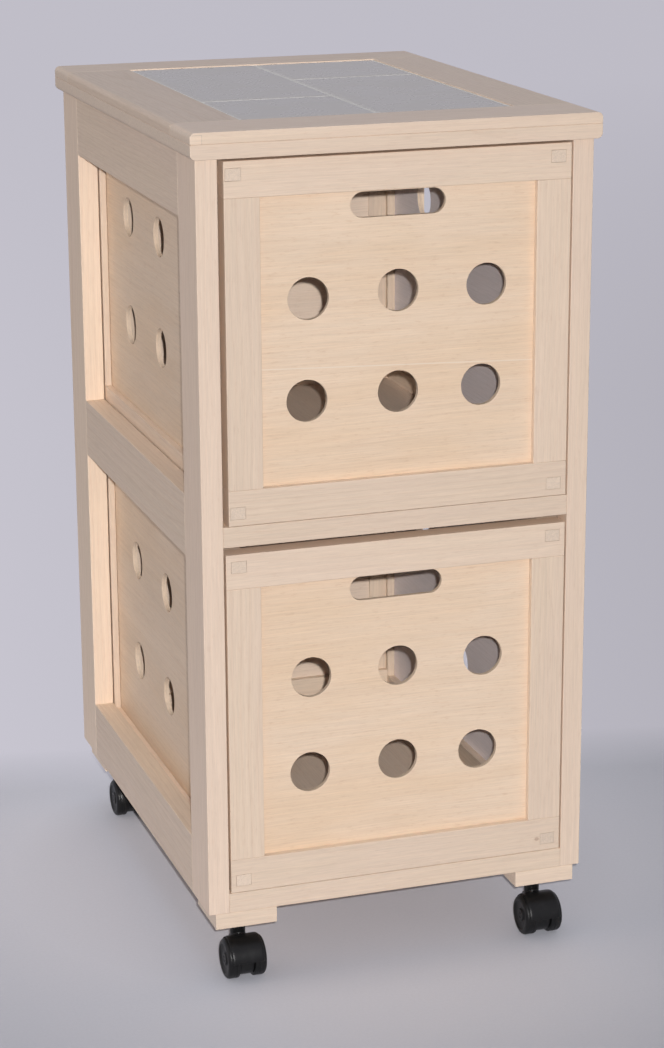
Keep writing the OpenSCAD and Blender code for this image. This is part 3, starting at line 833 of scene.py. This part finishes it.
def caster_wheels(node):
    """Two wheels turned from a detailed profile, with their axle."""
    low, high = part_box(node)
    centre = (low + high) / 2
    radius = (high.z - low.z) / 2
    inner = min(abs(v.co.x - centre.x) for v in NODES[node].data.vertices
                if (v.co - centre).yz.length > radius * 0.8)
    outer = (high.x - low.x) / 2
    bm = bmesh.new()
    for side in (-1, 1):
        points = [bm.verts.new((side * (inner + x), 0, r)) for r, x in wheel_profile(radius, outer - inner)]
        edges = [bm.edges.new(pair) for pair in zip(points, points[1:])]
        bmesh.ops.spin(bm, geom=edges, cent=(0, 0, 0), axis=(1, 0, 0),
                       angle=2 * math.pi, steps=WHEEL_STEPS, use_merge=True)
    turn = Matrix.Rotation(math.pi / 2, 4, "Y")
    bmesh.ops.create_cone(bm, cap_ends=True, segments=AXLE_STEPS, radius1=AXLE_RADIUS, radius2=AXLE_RADIUS,
                          depth=2 * (inner + AXLE_INTO_WHEEL), matrix=turn)
    bmesh.ops.remove_doubles(bm, verts=bm.verts, dist=WELD)
    bmesh.ops.translate(bm, verts=bm.verts, vec=centre)
    mesh = mesh_from(bm, node)
    mesh.shade_smooth()
    mesh.set_sharp_from_angle(angle=WHEEL_SMOOTH_ANGLE)
    piece_of(mesh, f"{node}_turned", TYRE, "caster_plastic", node)


for caster_node in sorted(NODES):
    if caster_node.startswith("caster_hood"):
        moulded_hood(caster_node)
    elif caster_node.startswith("caster_wheels"):
        caster_wheels(caster_node)

for kept_node, kept_material in (("caster_pins", STEEL), ("tile_grout", GROUT)):
    for material_slot in NODES[kept_node].material_slots:
        material_slot.material = kept_material


# ---- Studio ----

# The floor turns into the backdrop past the bend, and far from the cabinet. Distances are in metres
# from the cabinet's middle
FLOOR_HALF = 9.0
BEND_AZIMUTH = math.radians(-12.7)
BEND_DISTANCE = 0.225
BEND_BLUR = 0.05
FLOOR_ENDS = (0.75, 1.5)

# The floor is paler near the cabinet, towards the bend and on the left, as painted light: where, and how much
FLOOR_COLOUR = (0.585, 0.59, 0.65)
NEAR_REACH = (0.25, 0.55)
NEAR_PAINTED_LIGHT = (1.6, 1.0)
BEND_REACH = (-0.4, BEND_DISTANCE)
BEND_PAINTED_LIGHT = (1.0, 1.08)
SIDE_REACH = (-0.4, 0.4)
SIDE_PAINTED_LIGHT = (0.77, 0.66)
PAPER_LEVEL = (0.985, 1.015)

# The backdrop darkens from left to right as painted shade, less so far away. A place's turn to the right is
# its way sideways over its way from a viewer who stands so many metres in front of the cabinet
BACKDROP_COLOUR = (0.527, 0.513, 0.576)
BACKDROP_VIEWED_FROM = 2.0
TURN_LIMIT = 0.2
SLANT_REACH = (1.5, 5)
BACKDROP_PAINTED_SHADE = (-0.75, -0.1)


def floor_material():
    """Pale paper with painted light near the cabinet and towards the bend, which turns into the plain
    backdrop seen behind the object in the photograph, there with painted shade to the right.
    """
    g = Graph("floor")
    place = object_place(g)
    away = Vector((-math.sin(BEND_AZIMUTH), math.cos(BEND_AZIMUTH), 0))
    distance = g.vector("DOT_PRODUCT", place, tuple(away), output="Value")
    reach = g.vector("LENGTH", g.vector("MULTIPLY", place, (1, 1, 0)), output="Value")
    far = g.math("MAXIMUM", g.remap(distance, BEND_DISTANCE - BEND_BLUR, BEND_DISTANCE + BEND_BLUR),
                 g.remap(reach, *FLOOR_ENDS))
    paper = g.noise(place, (420, 420, 420), 3.0)
    sideways = g.vector("DOT_PRODUCT", place, (away.y, -away.x, 0), output="Value")
    # paper grain times painted light: paler near the cabinet, towards the bend and on the left
    level = g.times(g.remap(paper, *MOST_NOISE, *PAPER_LEVEL), g.remap(distance, *BEND_REACH, *BEND_PAINTED_LIGHT),
                    g.remap(reach, *NEAR_REACH, *NEAR_PAINTED_LIGHT), g.remap(sideways, *SIDE_REACH, *SIDE_PAINTED_LIGHT))
    g.set(Base_Color=g.brighten(FLOOR_COLOUR, level), Roughness=0.9, Specular_IOR_Level=0.2)
    glow = g.tree.nodes.new("ShaderNodeEmission")
    turn = g.math("DIVIDE", sideways, g.add(g.math("MAXIMUM", distance, 0.0), BACKDROP_VIEWED_FROM))
    turn = g.remap(turn, -TURN_LIMIT, TURN_LIMIT, -TURN_LIMIT, TURN_LIMIT)
    # painted shade: the backdrop darker towards the right
    painted_shade_slant = g.times(turn, g.remap(distance, *SLANT_REACH, *BACKDROP_PAINTED_SHADE))
    g.put(glow.inputs[0], g.brighten(BACKDROP_COLOUR, g.add(1.0, painted_shade_slant)))
    blend = g.tree.nodes.new("ShaderNodeMixShader")
    seen = g.tree.nodes.new("ShaderNodeLightPath")
    g.put(blend.inputs[0], g.times(far, seen.outputs["Is Camera Ray"]))
    g.put(blend.inputs[1], g.shader.outputs[0])
    g.put(blend.inputs[2], glow.outputs[0])
    g.put(g.output.inputs[0], blend.outputs[0])
    return g.material


def stage_floor():
    """The sheet that the cabinet stands on."""
    bm = bmesh.new()
    bmesh.ops.create_grid(bm, x_segments=1, y_segments=1, size=FLOOR_HALF)
    mesh = mesh_from(bm, "floor")
    mesh.materials.append(floor_material())
    floor = bpy.data.objects.new("floor", mesh)
    bpy.context.scene.collection.objects.link(floor)


def world_light(colour, strength, seen_colour):
    """Even light from all round, and the backdrop's colour where a camera or gloss looks past the floor."""
    world = bpy.data.worlds.new("studio")
    bpy.context.scene.world = world
    world.use_nodes = True
    tree = world.node_tree
    tree.nodes.clear()
    light = tree.nodes.new("ShaderNodeBackground")
    light.inputs[0].default_value = (*colour, 1)
    light.inputs[1].default_value = strength
    shown = tree.nodes.new("ShaderNodeBackground")
    shown.inputs[0].default_value = (*seen_colour, 1)
    path = tree.nodes.new("ShaderNodeLightPath")
    looks_past = path.outputs["Is Camera Ray"]
    for other in ("Is Glossy Ray", "Is Transmission Ray"):
        either = tree.nodes.new("ShaderNodeMath")
        either.operation = "MAXIMUM"
        tree.links.new(looks_past, either.inputs[0])
        tree.links.new(path.outputs[other], either.inputs[1])
        looks_past = either.outputs[0]
    blend = tree.nodes.new("ShaderNodeMixShader")
    output = tree.nodes.new("ShaderNodeOutputWorld")
    tree.links.new(looks_past, blend.inputs[0])
    tree.links.new(light.outputs[0], blend.inputs[1])
    tree.links.new(shown.outputs[0], blend.inputs[2])
    tree.links.new(blend.outputs[0], output.inputs[0])


LIT_CENTRE = Vector((0, 0, 320)) * MM
WORLD_COLOUR = (0.97, 0.97, 1.0)
WORLD_STRENGTH = 0.29

# The flash stands a little to the right of the lens and above it
FLASH_RIGHT = 25 * MM
FLASH_UP = 25 * MM
FLASH_SIZE = 12 * MM

# The soft lights, in metres
SOFT_SIZE = 1.6
SOFT_DISTANCE = 2.4


def lamp(name, place, size, power, colour, even=False):
    """A square light that faces the middle of the cabinet; an even one doesn't fade with distance."""
    data = bpy.data.lights.new(name, "AREA")
    if even:
        data.use_nodes = True
        tree = data.node_tree
        fade = tree.nodes.new("ShaderNodeLightFalloff")
        fade.inputs["Strength"].default_value = 1 / (LIT_CENTRE - place).length_squared
        emission = next(n for n in tree.nodes if n.type == "EMISSION")
        tree.links.new(fade.outputs["Constant"], emission.inputs["Strength"])
    data.size = size
    data.energy = power
    data.color = colour
    light = bpy.data.objects.new(name, data)
    bpy.context.scene.collection.objects.link(light)
    light.location = place
    light.rotation_mode = "QUATERNION"
    light.rotation_quaternion = (LIT_CENTRE - place).to_track_quat("-Z", "Y")
    return light


def towards(azimuth, elevation):
    """A soft light's place round the cabinet, at angles in degrees."""
    a, e = math.radians(azimuth), math.radians(elevation)
    way = Vector((math.sin(a) * math.cos(e), -math.cos(a) * math.cos(e), math.sin(e)))
    return LIT_CENTRE + SOFT_DISTANCE * way


stage_floor()
world_light(WORLD_COLOUR, WORLD_STRENGTH, BACKDROP_COLOUR)
camera_turn = bpy.context.scene.camera.matrix_world.to_3x3()
flash_at = CAMERA_AT + camera_turn @ Vector((FLASH_RIGHT, FLASH_UP, 0))
lamp("flash", flash_at, FLASH_SIZE, power=30, colour=(1.0, 0.985, 0.97), even=True)
lamp("fill", towards(-92, 12), SOFT_SIZE, power=6, colour=(1.0, 0.90, 0.81))
back_fill = lamp("back_fill", towards(138, 4), SOFT_SIZE, power=5.5, colour=(1.0, 0.97, 0.94))
back_fill.visible_glossy = False  # no white glare on the tiles
lamp("overhead", towards(180, 78), SOFT_SIZE, power=6.3, colour=(0.84, 0.96, 1.15))
